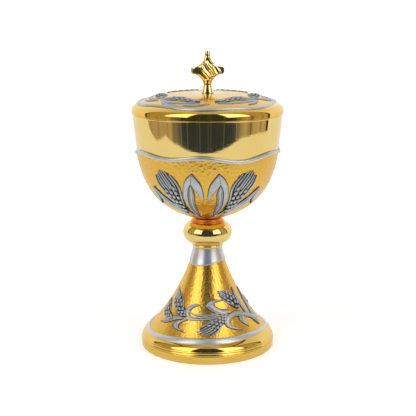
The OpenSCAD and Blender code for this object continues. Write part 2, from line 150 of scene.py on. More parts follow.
def rounded(points, radii, closed=True):
    """A polyline whose corners are rounded off by the given distances."""
    p, steps = np.asarray(points, float), 5
    out = []
    for i, (q, r) in enumerate(zip(p, np.broadcast_to(radii, len(p)))):
        if r <= 0 or (not closed and i in (0, len(p) - 1)):
            out.append(q)
            continue
        a, b = p[i - 1] - q, p[(i + 1) % len(p)] - q
        cut = min(r, 0.45 * np.linalg.norm(a), 0.45 * np.linalg.norm(b))
        a, b = q + a / np.linalg.norm(a) * cut, q + b / np.linalg.norm(b) * cut
        for k in range(steps + 1):
            t = k / steps
            out.append((1 - t) ** 2 * a + 2 * t * (1 - t) * q + t * t * b)
    return np.array(out)


def arc(centre, r, a0, a1, n):
    a = np.radians(np.linspace(a0, a1, n))
    return np.stack([centre[0] + r * np.cos(a), centre[1] + r * np.sin(a)], 1)


class Shell:
    """The outer face of a turned shell. u finds points along it, by height (key 1) or radius (key 0)."""

    def __init__(self, control, key, offset=0.0, outward=1):
        base = bezier(control, np.linspace(0, 1, 1501))
        d = np.gradient(base, axis=0)
        d /= np.linalg.norm(d, axis=1)[:, None]
        normal = outward * np.stack([d[:, 1], -d[:, 0]], 1)
        self.profile = base + offset * normal
        self.columns = np.hstack([self.profile, normal]).T
        self.length = distances(self.profile)
        self.order = np.argsort(base[:, key])
        self.u = base[self.order, key]

    def length_at(self, u):
        return np.interp(u, self.u, self.length[self.order])

    def at(self, u):
        """Radius and height of the face and of its normal at u."""
        return [np.interp(u, self.u, column[self.order]) for column in self.columns]

    def along(self, s):
        """Radius and height of the face and of its normal at distances along the shell."""
        return [np.interp(s, self.length, column) for column in self.columns]

    def place(self, azimuth, u, lift=0.0):
        r, z, nr, nz = self.at(u)
        return around(azimuth, r + lift * nr, z + lift * nz)

    def out(self, azimuth, u):
        _, _, nr, nz = self.at(u)
        n = around(azimuth, nr, nz)
        return n / np.linalg.norm(n, axis=-1, keepdims=True)


def around(azimuth, r, z):
    a = np.radians(azimuth)
    return np.stack(np.broadcast_arrays(r * np.sin(a), -r * np.cos(a), z), -1)


foot_curve = [[FLARE_R, FLARE_Z], [FLARE_R - 9.2, FLARE_Z + 6.4],
              [CONE_TOP_R + 7.2, CONE_TOP - 33.4], [CONE_TOP_R, CONE_TOP]]
bowl_curve = [[9, BOWL_LOW], [RIM_R - 9.2, BOWL_LOW + 11.2], [RIM_R - 3.9, RIM_Z - 47.9], [RIM_R, RIM_Z]]
LID_SLOPE = [LID_R - 2.9, LID_TOP - 8.8]
lid_curve = [[7, LID_TOP], [26.3, LID_TOP], [LID_SLOPE[0] - 16.8, LID_SLOPE[1] + 8.3], LID_SLOPE]

on_foot = Shell(foot_curve, 1)
on_bowl = Shell(bowl_curve, 1)
on_calyx = Shell(bowl_curve, 1, CALYX_WALL)
on_lid = Shell(lid_curve, 0, 0, -1)


def wave(mean, *terms):
    """A wavy line round the axis, as a function of azimuth. Each term is (height, crests, phase in degrees)."""
    return lambda a: mean + sum(h * np.cos(np.radians(crests * a + phase)) for h, crests, phase in terms)


cup_wave = wave(RIM_Z - 29.0, (1.4, 6, 18), (0.7, 3, 90))
lid_wave = wave(LID_R - 6.4, (0.95, 6, 78), (0.9, 3, -51))
band_top = wave(RING_TOP + 2, (1.45, 2, -40), (0.45, 4, 120))
band_low = wave(RING_TOP - 1, (0.95, 2, -74), (0.4, 4, 104))
sleeve_low = wave(CONE_TOP - 12.2, (-1.5, 2, 70))
sleeve_top = wave(CONE_TOP - 0.13)


# ---- meshes

def grid_faces(rows, cols, closed=False):
    """Quads over rows of cols points. Each row is a closed loop, and closed joins the last row to the first."""
    r, c = np.meshgrid(np.arange(rows - 1 + closed), np.arange(cols), indexing="ij")
    r2, c2 = (r + 1) % rows, (c + 1) % cols
    quads = np.stack([r * cols + c, r * cols + c2, r2 * cols + c2, r2 * cols + c], -1)
    return quads.reshape(-1, 4).tolist()


def end_caps(rows, cols):
    """Faces that close the two ends of a tube of rows of cols points."""
    faces = []
    for ring in (range(cols - 1, -1, -1), range((rows - 1) * cols, rows * cols)):
        faces += [[ring[0], ring[k], ring[k + 1], ring[k + 2]] for k in range(1, cols - 2, 2)]
    return faces


def circle(steps):
    """Angles in degrees, evenly spaced round a full turn."""
    return np.linspace(0, 360, steps, endpoint=False)


def new_object(name, verts, faces, material):
    mesh = bpy.data.meshes.new(name)
    mesh.from_pydata(verts, [], faces)
    mesh.materials.append(material)
    obj = bpy.data.objects.new(name, mesh)
    bpy.context.scene.collection.objects.link(obj)
    return obj


def make_mesh(node, made, verts, faces, material, stands_in=True, **values):
    """A piece named node_made, which rides as that CAD node does and stands for it unless told otherwise."""
    obj = new_object(f"{node}_{made}", (np.asarray(verts).reshape(-1, 3) * MM).tolist(), faces, material)
    mesh = obj.data
    mesh.validate()
    mesh.update()
    mesh.polygons.foreach_set("use_smooth", [True] * len(mesh.polygons))
    for key, data in values.items():
        mesh.attributes.new(key, "FLOAT", "POINT").data.foreach_set("value", np.ravel(data).astype(np.float32))
    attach(obj, BODY_OF[node])
    if stands_in:
        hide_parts(node)


def lathe(node, made, profile, material, segments=256, closed=True, stands_in=True):
    """A turned piece from a profile of [radius, height] points, listed anticlockwise with +r to the right."""
    p = distinct(profile)
    r, z = np.maximum(p[:, :1], AXIS_GAP), p[:, 1:]
    faces = grid_faces(len(p), segments, closed)
    make_mesh(node, made, around(circle(segments), r, z), faces, material, stands_in)


def hammer_field(shell, s0, s1, pitch, seed):
    """Centres of hammer marks scattered evenly over a stretch of a shell."""
    local = np.random.default_rng(seed)
    points = []
    for s in np.arange(s0, s1, pitch * 0.87):
        r, z, _, _ = shell.along(s)
        n = max(6, int(2 * math.pi * r / pitch))
        a = (np.arange(n) + local.uniform(-0.38, 0.38, n) + local.uniform()) * 360 / n
        ss = s + local.uniform(-0.38, 0.38, n) * pitch
        r, z, _, _ = shell.along(np.clip(ss, s0, s1))
        points.append(around(a, r, z))
    points = np.vstack(points)
    tree = KDTree(len(points))
    for i, q in enumerate(points):
        tree.insert(Vector(q), i)
    tree.balance()
    return tree


def hammer_depth(tree, verts, pitch):
    """0 at the middle of each hammer mark, rising to about 1 on the ridges between marks."""
    near = np.array([[f[2] for f in tree.find_n(Vector(v), 2)] for v in verts.reshape(-1, 3)])
    dish = np.clip(near[:, 0] / (0.62 * pitch), 0, 1.3) ** 2
    edge = np.clip((near[:, 1] - near[:, 0]) / (0.35 * pitch), 0, 1)
    return (dish * (0.75 + 0.25 * edge)).reshape(verts.shape[:-1])


def hammered_shell(node, shell, s0, s1, wall, segments, pitch, depth, material, seed):
    """A closed shell whose outer face is covered with hammer marks.

    s0 and s1 are the start and end distance along the shell, as numbers or one for each segment.
    """
    rows, back_rows = 150, 24
    a = circle(segments)
    s = s0 + (s1 - s0) * np.linspace(0, 1, rows)[:, None] + 0 * a
    r, z, nr, nz = shell.along(s)
    outer = around(a, r, z)
    tree = hammer_field(shell, float(np.min(s0)), float(np.max(s1)), pitch, seed)
    marks = hammer_depth(tree, outer, pitch)
    soft = np.minimum(1, np.minimum(s - s0, s1 - s) / 0.8 + 0.05)
    outer = outer + (depth * (marks - 1) * soft)[..., None] * around(a, nr, nz)
    r, z, nr, nz = shell.along(s1 + (s0 - s1) * np.linspace(0, 1, back_rows)[:, None] + 0 * a)
    back = around(a, r - wall * nr, z - wall * nz)
    faces = grid_faces(rows + back_rows, segments, True)
    mark = np.vstack([marks * soft, np.zeros((back_rows, segments))])
    make_mesh(node, "hammered", np.vstack([outer, back]), faces, material, mark=mark)


class Relief:
    """One soldered ornament: its points and faces, and for each point a relief from 0 (dark) to 1 (bright).

    All that is added is copied at the given turns round the axis. With mirror it is added a second time,
    mirrored left to right and turned back by lean.
    """

    def __init__(self, shell, turns, mirror=False, lean=0.0):
        self.shell, self.turns = shell, turns
        self.sides = [(1, 0.0), (-1, lean)] if mirror else [(1, 0.0)]
        self.verts, self.faces, self.relief = np.zeros((0, 3)), [], []

    def add(self, verts, faces, relief):
        for side, lean in self.sides:
            for turn in self.turns:
                angle = math.radians(turn - lean)
                c, s = math.cos(angle), math.sin(angle)
                turned = [[side * c, side * s, 0], [-s, c, 0], [0, 0, 1]]
                self.faces += (np.array(faces)[:, ::side] + len(self.verts)).tolist()
                self.verts = np.vstack([self.verts, verts.reshape(-1, 3) @ np.array(turned)])
                self.relief.append(np.ravel(relief))

    def build(self, node, material):
        make_mesh(node, "silver", self.verts, self.faces, material, relief=np.concatenate(self.relief))

    def blades(self, outlines, **usual):
        """Leaves, each from its two edges and what is special about it."""
        for edge_a, edge_b, special in outlines:
            self.blade(edge_a, edge_b, **{**usual, **special})

    def blade(self, edge_a, edge_b, lift=0.7, crown=0.25, veins=3, tilt=0.0, shade=1.0, rim=0.32, edge=0.0):
        """A leaf between two edges, each a list of [azimuth, u]: a rounded back with long veins and a dark rim.

        tilt raises side b over side a, shade darkens its back with painted shade, and edge sets how bright its
        sides are.
        """
        n, m = 40, 15
        a, b = even(spline(edge_a, 80), n), even(spline(edge_b, 80), n)
        s, t = np.linspace(-1, 1, m), np.linspace(0, 1, n)[:, None]
        au = a[:, None] * (1 - s[:, None]) / 2 + b[:, None] * (1 + s[:, None]) / 2
        pinch = np.clip(np.minimum(t, 1 - t) / 0.06, 0, 1) ** 0.5
        body = np.sqrt(1 - np.abs(s) ** 5)
        groove = 0.5 + 0.5 * np.cos(s * veins * math.pi)
        h = lift * (0.35 + 0.65 * body) + crown * (1 - s ** 2) - 0.14 * (1 - groove) + tilt * s
        h = h * (0.5 + 0.5 * pinch)
        # shade scales the relief down: painted shade on the leaf's back
        relief = shade * np.clip(body * 1.02, 0, 1) * (0.5 + 0.5 * groove) * np.ones_like(t)
        face = self.shell.place(au[..., 0], au[..., 1], h)
        mid = au[:, m // 2]
        out = self.shell.out(mid[:, 0], mid[:, 1])
        along = np.gradient(face[:, m // 2], axis=0)
        side = np.cross(out, along)
        side /= np.linalg.norm(side, axis=1)[:, None]
        side *= np.sign(np.sum((face[n // 2, 0] - face[n // 2, -1]) * side[n // 2]))

        def foot(edge, way, low):
            return self.shell.place(edge[:, 0], edge[:, 1], low)[:, None] + way * rim * side[:, None]

        verts = np.hstack([foot(a, 1, -SINK), foot(a, 1, 0.12), face, foot(b, -1, 0.12), foot(b, -1, -SINK)])
        sides = np.full((n, 2), edge)
        cols = m + 4
        self.add(verts, grid_faces(n, cols) + end_caps(n, cols), np.hstack([sides, relief, sides]))

    def grain(self, centre_au, along, size, rise):
        """A wheat grain lying along a direction on the shell: pointed ends and a crease down its back."""
        (length, width, height), crease = size, 0.18
        nt, ns = 13, 12
        x, phi = np.linspace(-1, 1, nt)[:, None], np.radians(circle(ns))
        plump = ((1 - np.abs(x) ** 2.3) ** 0.62 + 0.015) * (1 - 0.16 * x)
        y, z = plump * np.cos(phi), plump * np.sin(phi)
        z = np.where(z > 0, z * (1 - crease * np.exp(-(y / 0.22) ** 2)), z)
        out = self.shell.out(*centre_au)
        along = along - out * (along @ out)
        along = along / np.linalg.norm(along)
        side = np.cross(out, along)
        tip_up = 0.12 * length * (x + 1) / 2
        verts = (self.shell.place(*centre_au, rise) + (x * length)[..., None] * along
                 + (y * width)[..., None] * side + (z * height + tip_up)[..., None] * out)
        relief = np.clip(1.7 * z - 0.35, 0, 1) * (1 - 0.35 * np.exp(-(y / 0.13) ** 2) * (z > 0.3))
        self.add(verts, grid_faces(nt, ns) + end_caps(nt, ns), relief)

    def needle(self, path, width, lift):
        """A tapering ridge with a sharp back, along a path of [azimuth, u] points."""
        n, (a, u) = len(path), path.T
        t = np.linspace(0, 1, n)
        w = width * (0.35 + 0.65 * np.sin(math.pi * np.clip(t * 0.85 + 0.15, 0, 1)) ** 0.7)
        w[-1] = 0.05
        centre, out = self.shell.place(a, u), self.shell.out(a, u)
        tangent = np.gradient(centre, axis=0)
        tangent /= np.linalg.norm(tangent, axis=1)[:, None]
        side = np.cross(out, tangent)
        section = [(-1.12, -SINK, 0.0), (-1.0, 0.2, 0.0), (-0.52, 0.92, 0.85), (0.0, 1.0, 1.0),
                   (0.52, 0.92, 0.85), (1.0, 0.2, 0.0), (1.12, -SINK, 0.0)]  # side, height, relief
        verts = []
        for s, h, _ in section:
            height = np.where(h < 0, h, h * lift * (0.4 + 0.6 * np.minimum(1, (1 - t) * 6)))
            verts.append(centre + side * (s * w)[:, None] + out * height[:, None])
        relief = [[bright for _, _, bright in section]] * n
        self.add(np.stack(verts, 1), grid_faces(n, len(section)), relief)

    def ear(self, edge_a, edge_b, rows, grain_size, grains=(0.1, 0.68), awns=9, lift=0.75, spread=0.5,
            overrun=0.1):
        """An ear of wheat between two outlines: a ridged fan of awns, three rows of grains and needle tips."""
        edges = [even(spline(edge, 90), 60) for edge in (edge_a, edge_b)]

        def at(t, s):
            """[azimuth, u] at t along the ear and s from -1 to 1 across it; it runs on past the tip."""
            t, share = np.asarray(t, float), ((np.asarray(s, float) + 1) / 2)[..., None]
            over = 5 * np.clip(t - 1, 0, 1)[..., None]
            a, b = [np.stack([np.interp(t, np.linspace(0, 1, 60), column) for column in edge.T], -1)
                    + over * (edge[-1] - edge[-13]) for edge in edges]
            return a * (1 - share) + b * share

        def between(a, b):
            return self.shell.place(*b) - self.shell.place(*a)

        # a dark plate behind the ear, with the awns and grains standing off it: it takes the stained recess
        # colour and paints shade into the gaps between the awns
        t = np.linspace(max(grains[0] - 0.05, 0), 1.0, 12)
        self.blade(at(t, -0.84), at(t, 0.84), lift=0.25, crown=0.1, veins=0, shade=0.0, rim=0.1)
        span = np.linalg.norm(between(at(0.7, -1.0), at(0.7, 1.0)))
        for k in range(awns):
            s = -1 + 2 * (k + 0.5) / awns
            start = grains[0] + (grains[1] - grains[0] - 0.02) * (1 - abs(s)) ** 0.8
            end = 1 + overrun * (1 - s * s) - 0.05 * abs(s) + 0.02 * math.sin(k * 7.1)
            t = np.linspace(start, end, 22)
            sway = s * (0.6 + 0.4 * np.clip((t - start) / 0.4, 0, 1))
            self.needle(at(t, sway), 0.39 * span / awns, lift * (0.94 + 0.1 * (-1) ** k))
        step = (grains[1] - grains[0]) / (rows - 1)
        for i in range(rows):
            for s in (-1, 0, 1):
                t = grains[0] + step * (i + (0.5 if s else 0.0))
                centre = at(t, s * spread)
                scale = 1 - 0.22 * abs((t - 0.4) / 0.6)
                size = grain_size * np.array([scale, scale, 1.0 if s else 1.15])
                along = between(centre, at(t + 0.04, s * spread * 1.1))
                self.grain(centre, along, size, lift * (0.75 if s else 0.95))


# ---- materials

class Nodes:
    """Short helper for building a node tree. A value is a number, a colour or another node's output."""

    def __init__(self, owner):
        owner.use_nodes = True
        self.tree = owner.node_tree
        self.tree.nodes.clear()

    def add(self, kind, inputs=None, **settings):
        node = self.tree.nodes.new(kind)
        for key, value in settings.items():
            setattr(node, key, value)
        for key, value in (inputs or {}).items():
            self.put(node.inputs[key], value)
        return node

    def put(self, socket, value):
        if isinstance(value, bpy.types.NodeSocket):
            self.tree.links.new(value, socket)
        else:
            if isinstance(value, tuple) and socket.type == "RGBA":
                value = (*value, 1)
            socket.default_value = value

    def math(self, op, a, b=0.0):
        return self.add("ShaderNodeMath", {0: a, 1: b}, operation=op).outputs[0]

    def times(self, a, b):
        return self.math("MULTIPLY", a, b)

    def plus(self, a, b):
        return self.math("ADD", a, b)

    def less(self, a, b):
        return self.math("SUBTRACT", a, b)

    def mix(self, a, b, factor, kind="MIX"):
        inputs = {"Factor": factor, "A": a, "B": b}
        return self.add("ShaderNodeMix", inputs, data_type="RGBA", blend_type=kind).outputs["Result"]


class Material(Nodes):
    """Short helper for building a procedural material."""

    def __init__(self, name):
        self.material = bpy.data.materials.new(name)
        super().__init__(self.material)
        self.out = self.add("ShaderNodeOutputMaterial")
        self.coords = self.add("ShaderNodeTexCoord").outputs["Object"]

    def attribute(self, name):
        return self.add("ShaderNodeAttribute", attribute_name=name).outputs["Fac"]

    def noise(self, scale, detail=4.0, rough=0.5, stretch=(1, 1, 1)):
        place = self.add("ShaderNodeMapping", {"Vector": self.coords, "Scale": stretch}).outputs[0]
        inputs = {"Vector": place, "Scale": scale, "Detail": detail, "Roughness": rough}
        return self.add("ShaderNodeTexNoise", inputs).outputs[0]

    def ramp(self, value, low, high):
        """Remap a value between two (position, colour or grey) stops."""
        node = self.add("ShaderNodeValToRGB", {0: value})
        for element, (place, colour) in zip(node.color_ramp.elements, (low, high)):
            element.position = place
            element.color = (*colour, 1) if isinstance(colour, tuple) else (colour, colour, colour, 1)
        return node.outputs[0]

    def cloud(self, scale, detail, low, high):
        """Soft patches between two colours or greys."""
        return self.ramp(self.noise(scale, detail), (0.3, low), (0.7, high))

    def bump(self, height, strength, distance, normal=None):
        node = self.add("ShaderNodeBump", {"Height": height, "Strength": strength, "Distance": distance})
        if normal is not None:
            self.put(node.inputs["Normal"], normal)
        return node.outputs[0]

    def shade(self, kind, **inputs):
        """Set the surface shader, with its inputs named by their first words, and return the material."""
        shader = self.add(kind, {key.replace("_", " "): value for key, value in inputs.items()})
        self.put(self.out.inputs[0], shader.outputs[0])
        return self.material

    def finish(self, colour, roughness, normal, metallic=1.0):
        return self.shade("ShaderNodeBsdfPrincipled", Base_Color=colour, Roughness=roughness, Normal=normal,
                          Metallic=metallic)


GOLD = (0.90, 0.65, 0.21)
GOLD_PALE = (0.92, 0.69, 0.25)
GOLD_RICH = (0.90, 0.56, 0.095)
GOLD_DEEP = (0.80, 0.46, 0.07)
GOLD_LIGHT = (0.89, 0.6, 0.15)


def polished_gold(name, low, high, haze=0.0):
    m = Material(name)
    colour = m.cloud(35, 3, low, high)
    smear = m.noise(160, 4, stretch=(1, 1, 2.5))
    rough = m.ramp(smear, (0.35, 0.035 + haze), (0.75, 0.085 + haze))
    turning = m.noise(900, 2, stretch=(0.12, 0.12, 1))
    return m.finish(colour, rough, m.bump(turning, 0.02, 0.0002))


def hammered_gold(name, pecks, low, high):
    """Satin gold, brighter and smoother on the ridges between hammer marks, with a fine peck over all."""
    m = Material(name)
    mark = m.attribute("mark")
    base = m.cloud(60, 5, GOLD_DEEP, (0.84, 0.51, 0.09))
    colour = m.mix(base, GOLD_RICH, m.times(mark, 0.5))
    grain = m.noise(1600, 4, 0.6)
    rough = m.plus(m.ramp(grain, (0.3, low), (0.7, high)), m.times(mark, -0.05))
    cells = m.add("ShaderNodeTexVoronoi", {"Vector": m.coords, "Scale": 560}, feature="SMOOTH_F1").outputs[0]
    return m.finish(colour, rough, m.bump(grain, 0.15, 0.0002, m.bump(cells, pecks, 0.0004)))


def lid_gold_material():
    """Polished gold that turns satin where the crown is hammered."""
    m = Material("lid_gold")
    mark = m.attribute("mark")
    base = m.cloud(35, 3, GOLD_RICH, GOLD_LIGHT)
    colour = m.mix(base, GOLD_RICH, m.times(mark, 0.6))
    smear = m.ramp(m.noise(160, 4, stretch=(1, 1, 2.5)), (0.35, 0.05), (0.75, 0.1))
    satin = m.cloud(1500, 4, 0.16, 0.26)
    return m.finish(colour, m.mix(smear, satin, mark), m.bump(m.noise(1100, 3), 0.06, 0.0002))


def finial_gold_material():
    """Polished gold with the soft waves of a cast surface."""
    m = Material("finial_gold")
    colour = m.cloud(220, 3, GOLD, (0.92, 0.74, 0.36))
    return m.finish(colour, m.cloud(600, 4, 0.1, 0.2), m.bump(m.noise(330, 3), 0.12, 0.0006))


def soldered_silver(name, recess):
    """Silver that is bright on its high parts and stained dark in its recesses, and darker where the relief
    carries painted shade.
    """
    m = Material(name)
    bright = m.cloud(120, 4, (0.48, 0.49, 0.49), (0.6, 0.61, 0.6))
    stain = m.less(m.noise(420, 4, 0.6), 0.5)
    height = m.plus(m.attribute("relief"), m.times(stain, 0.5))
    # low relief darkens: stain in the recesses, and painted shade where a leaf's relief is scaled down
    unstained_and_lit = m.ramp(height, (0.22, 0.0), (0.72, 1.0))
    rough = m.ramp(unstained_and_lit, (0.0, 0.65), (1.0, 0.38))
    return m.finish(m.mix(recess, bright, unstained_and_lit), rough, m.bump(m.noise(1400, 3), 0.22, 0.00015), 0.75)


def wire_silver():
    m = Material("wire_silver")
    colour = m.cloud(90, 3, (0.56, 0.57, 0.57), (0.68, 0.69, 0.69))
    rough = m.ramp(m.noise(700), (0.3, 0.28), (0.75, 0.42))
    return m.finish(colour, rough, m.bump(m.noise(500, 3), 0.2, 0.0003), 0.8)


def satin_silver():
    m = Material("satin_silver")
    brushed = m.noise(700, 3, stretch=(0.15, 0.15, 1.6))
    colour = m.cloud(50, 3, (0.62, 0.63, 0.63), (0.72, 0.73, 0.73))
    return m.finish(colour, m.ramp(brushed, (0.3, 0.26), (0.7, 0.38)), m.bump(brushed, 0.1, 0.0002), 0.85)


def turned_steel():
    m = Material("turned_steel")
    rings = m.noise(1500, 2, stretch=(0.1, 0.1, 1))
    colour = m.cloud(80, 4, (0.36, 0.36, 0.37), (0.5, 0.5, 0.51))
    return m.finish(colour, m.ramp(rings, (0.3, 0.28), (0.7, 0.46)), m.bump(rings, 0.3, 0.0002))


gold = polished_gold("polished_gold", GOLD, GOLD_PALE)
rich_gold = polished_gold("rich_polished_gold", GOLD_RICH, GOLD_LIGHT)
# red-orange gold for the upper collar: a painted reflection of the warm light bounced off the gold round it
gold_with_painted_bounce = polished_gold("polished_gold_with_painted_bounce", (0.9, 0.34, 0.06), (0.92, 0.42, 0.08), 0.3)
hammered = hammered_gold("hammered_gold", 0.5, 0.23, 0.33)
hammered_fine = hammered_gold("finely_hammered_gold", 0.3, 0.25, 0.36)
relief_silver = soldered_silver("soldered_silver", (0.055, 0.064, 0.066))
lid_silver = soldered_silver("lid_soldered_silver", (0.2, 0.22, 0.23))
lid_gold, finial_gold = lid_gold_material(), finial_gold_material()
round_silver, plain_silver, steel = wire_silver(), satin_silver(), turned_steel()


# ---- foot

def foot_ring():
    """Plain upright band, two turned beads and a full rounded shoulder, hollow below."""
    plinth, lip = 6.2, 8.5
    bead_low, bead_top = np.array([FOOT_R - 0.4, plinth]), np.array([FOOT_R - 1.4, plinth + 3.5])
    side = rounded([[FOOT_R - lip, 0], [FOOT_R, 0], [FOOT_R, plinth], bead_low], [0.2, 0.5, 0.3, 0.1])
    out = np.array([bead_top[1] - bead_low[1], bead_low[0] - bead_top[0]])
    out = out / np.linalg.norm(out)
    t, step = np.linspace(0.04, 0.96, 11)[:, None], (bead_top - bead_low) / 2
    beads = [bead_low + step * (k + t) + 0.42 * np.sin(math.pi * t) ** 0.7 * out for k in range(2)]
    shoulder = bezier([bead_top, bead_top + [-0.3, 1.2], [FLARE_R + 1.3, FLARE_Z - 0.9], [FLARE_R, FLARE_Z]],
                      np.linspace(0, 1, 26))
    seam = on_foot.length_at(RING_TOP)
    flare = np.stack(on_foot.along(np.linspace(0.3, seam, 8))[:2], 1)
    inside = rounded([flare[-1] - [3.4, 0], flare[-1] - [3.4, 1.6], [FOOT_R - 4.4, plinth + 1.4],
                      [FOOT_R - 2.8, plinth - 1.6], [FOOT_R - 2.8, 1.4], [FOOT_R - lip, 1.4]], 0.3, closed=False)
    profile = np.vstack([side] + beads + [shoulder, flare, inside])
    lathe("foot_ring", "turned", dense(profile, 0.8), rich_gold, 384)


def foot_cone():
    """Hammered cone, and the plate that closes its top round the tie rod."""
    hammered_shell("foot_cone", on_foot, on_foot.length_at(CONE_LOW), on_foot.length[-1], CONE_WALL,
                   720, 1.9, 0.062, hammered_fine, 21)
    plate = rounded([[ROD_HOLE_R, CONE_TOP - CONE_WALL], [CONE_TOP_R - 0.4, CONE_TOP - CONE_WALL],
                     [CONE_TOP_R - 0.2, CONE_TOP - 0.01], [ROD_HOLE_R, CONE_TOP - 0.01]], 0.1)
    lathe("foot_cone", "top_plate", plate, rich_gold, 96, stands_in=False)


def draped_ring(node, made, low, high, section):
    """A thin silver ring on the foot between two heights, either of which may wave.

    section lists (place from 0 low to 1 high, lift off the shell).
    """
    a = circle(540)
    rows = [on_foot.place(a, low(a) + (high(a) - low(a)) * place, lift) for place, lift in section]
    make_mesh(node, made, rows, grid_faces(len(section), len(a), True), plain_silver)


def foot_band():
    face = [(x, 0.35 + 0.4 * math.sin(math.pi * x) ** 0.5) for x in np.linspace(0, 1, 9)]
    draped_ring("foot_band", "silver", band_low, band_top, [(0.0, -0.3)] + face + [(1.0, -0.3)])


def stem_sleeve():
    face = [(x, 0.3 + 0.22 * min(1, x / 0.05)) for x in np.linspace(0, 1, 30)]
    draped_ring("stem_sleeve", "satin", sleeve_low, sleeve_top, [(0.0, 0.02)] + face + [(1.0, 0.02)])


# Outlines of the ornament are [azimuth, height] on the foot and cup, and [azimuth, radius] on the lid.
foot_ear_outlines = [
    ([[-30, 30], [-44, 31], [-57, 34.5], [-67, 39], [-73, 44]],
     [[-26, 31.5], [-29, 33.5], [-37, 38], [-45, 43.5], [-58, 46.5]], 5),
    ([[-48, 26.5], [-60, 25.8], [-72, 27], [-83, 31]],
     [[-46, 29], [-56, 31], [-66, 34.5], [-78, 39.5]], 4),
    ([[50, 34.3], [42, 36], [32, 40.2], [25, 43.5], [20, 46]],
     [[53, 35], [56, 38.5], [55, 43.5], [47, 48], [33, 50.3]], 4),
    ([[25, 33.5], [17, 32.3], [7, 30.5], [-3, 27.2], [-11, 24.6]],
     [[28, 31.3], [24, 28.5], [19, 25.5], [12, 21.8], [5, 19.6]], 5),
]
foot_blades = [
    # left: pointed bract, hooked leaf, short rising leaf
    ([[-36, 30.6], [-46, 30], [-57, 27.7], [-68.5, 22.7]],
     [[-35, 29], [-44, 27.2], [-56, 23.8], [-68.5, 22.6]], {}),
    ([[-30, 29.9], [-39, 27.2], [-45, 24.6], [-41, 22.4], [-34.5, 21.6], [-26, 20.9]],
     [[-26, 29], [-32, 27.5], [-36, 25], [-34.5, 23.2], [-31, 22.2], [-26, 21]], {"tilt": 0.12}),
    ([[-33, 31.5], [-34.5, 35.2], [-28, 38.9], [-20.5, 40.5], [-11.5, 40.3]],
     [[-21, 31.4], [-26.5, 33.8], [-24, 36.8], [-18.5, 38.8], [-11.5, 40.2]], {"tilt": -0.15}),
    # middle: the long leaf that turns back on itself
    ([[31, 33.6], [22, 33], [12.5, 34.2], [4.5, 36.2], [-3.5, 39.4]],
     [[33, 36], [21, 37], [13, 38.8], [9, 40.3], [3.5, 41.8]], {"tilt": -0.1}),
    ([[-3.8, 39.2], [0.5, 42], [6, 43.4], [14, 43.9], [27, 43]],
     [[9, 40.1], [9.5, 41], [12, 41.9], [17, 42.3], [27, 42.8]], {"tilt": 0.1, "lift": 0.85}),
    # right: the sickle leaf and a short leaf
    ([[64, 29.8], [46, 33.8], [30, 32.8], [22, 29.4], [21.5, 26], [27.5, 23.3], [41, 20.8]],
     [[50, 29], [40, 30.4], [32, 29.2], [29, 26.8], [30, 24.8], [34.5, 23.3], [41, 21]], {"lift": 0.85}),
    ([[46, 30.6], [44, 28], [47, 25], [52.5, 21.5]], [[58, 28.2], [52, 26.9], [51.5, 24.8], [52.5, 21.6]], {}),
]
# at the front only: a short leaf and two long blades that meet at the band
foot_front_blades = [
    ([[58, 31.5], [74, 27.5], [82, 23.5], [74, 18.9]], [[56, 28.2], [64, 26], [70.5, 22.8], [73.5, 19]], {}),
    ([[57, 50.5], [54.8, 43.6], [56.8, 37.2], [61.5, 29.9], [73, 19]],
     [[62, 50], [63, 42.4], [66, 35.6], [69, 28.6], [73.8, 19]], {"tilt": -0.15}),
    ([[85, 48], [78, 41.3], [75.5, 34.8], [73, 27.6], [73.5, 19.6]],
     [[87, 47.5], [87.5, 38], [86, 31], [81, 25.5], [75, 19.3]], {"tilt": 0.12}),
]
foot_strands = [
    [[-29, 35.2], [-19.5, 33.4], [-6.5, 32.9], [6, 33.3], [23, 34.8], [35, 35]],
    [[-33, 32.2], [-24.5, 31.5], [-15.5, 31.4], [-3.5, 31.7], [9, 32.2], [30, 33.6]],
    [[-40, 30], [-30.5, 29.9], [-20, 29.8], [-3.5, 30.4], [10, 31.2], [28, 32.3]],
]


def foot_ornament():
    leaves = Relief(on_foot, FOOT_TURNS)
    for turns, blades in ((FOOT_TURNS, foot_blades), ((0,), foot_front_blades)):
        leaves.turns = turns
        leaves.blades(blades, veins=2)
    leaves.turns = FOOT_TURNS
    for k, path in enumerate(foot_strands):
        leaves.needle(even(spline(path, 80), 40), 0.78, 0.85 + 0.08 * (k % 2))
    leaves.build("foot_leaves", relief_silver)
    ears = Relief(on_foot, FOOT_TURNS)
    for edge_a, edge_b, rows in foot_ear_outlines:
        ears.ear(edge_a, edge_b, rows, [1.8, 1.1, 1.2], awns=6, overrun=0.2)
    ears.build("foot_wheat_ears", relief_silver)


# ---- stem

def lower_collar():
    """A low bead that bulges between the cone and the knop."""
    r, round_r = 12.7, 0.55 * (KNOP_LOW - COLLAR_LOW)
    side = arc([r - round_r, (COLLAR_LOW + KNOP_LOW) / 2], round_r, -64, 64, 20)
    profile = np.vstack([[[ROD_HOLE_R, COLLAR_LOW]], side, [[ROD_HOLE_R, KNOP_LOW]]])
    lathe("lower_collar", "turned", dense(profile, 0.4), gold)


def knop():
    """A full round bead with a stepped bore: the tie rod below, the cup's boss above."""
    r, boss_low = 9.3, 94.5
    mid = [KNOP_R - r, (KNOP_LOW + KNOP_TOP) / 2 + 0.5]
    top_a = math.degrees(math.asin((KNOP_TOP - mid[1]) / r))
    profile = np.vstack([[[ROD_HOLE_R, KNOP_LOW], [mid[0] - 0.5, KNOP_LOW]], arc(mid, r, -89, top_a, 60),
                         [[SPIGOT_R, KNOP_TOP], [SPIGOT_R, boss_low], [ROD_HOLE_R, boss_low]]])
    lathe("knop", "turned", dense(profile, 0.5), gold, 320)


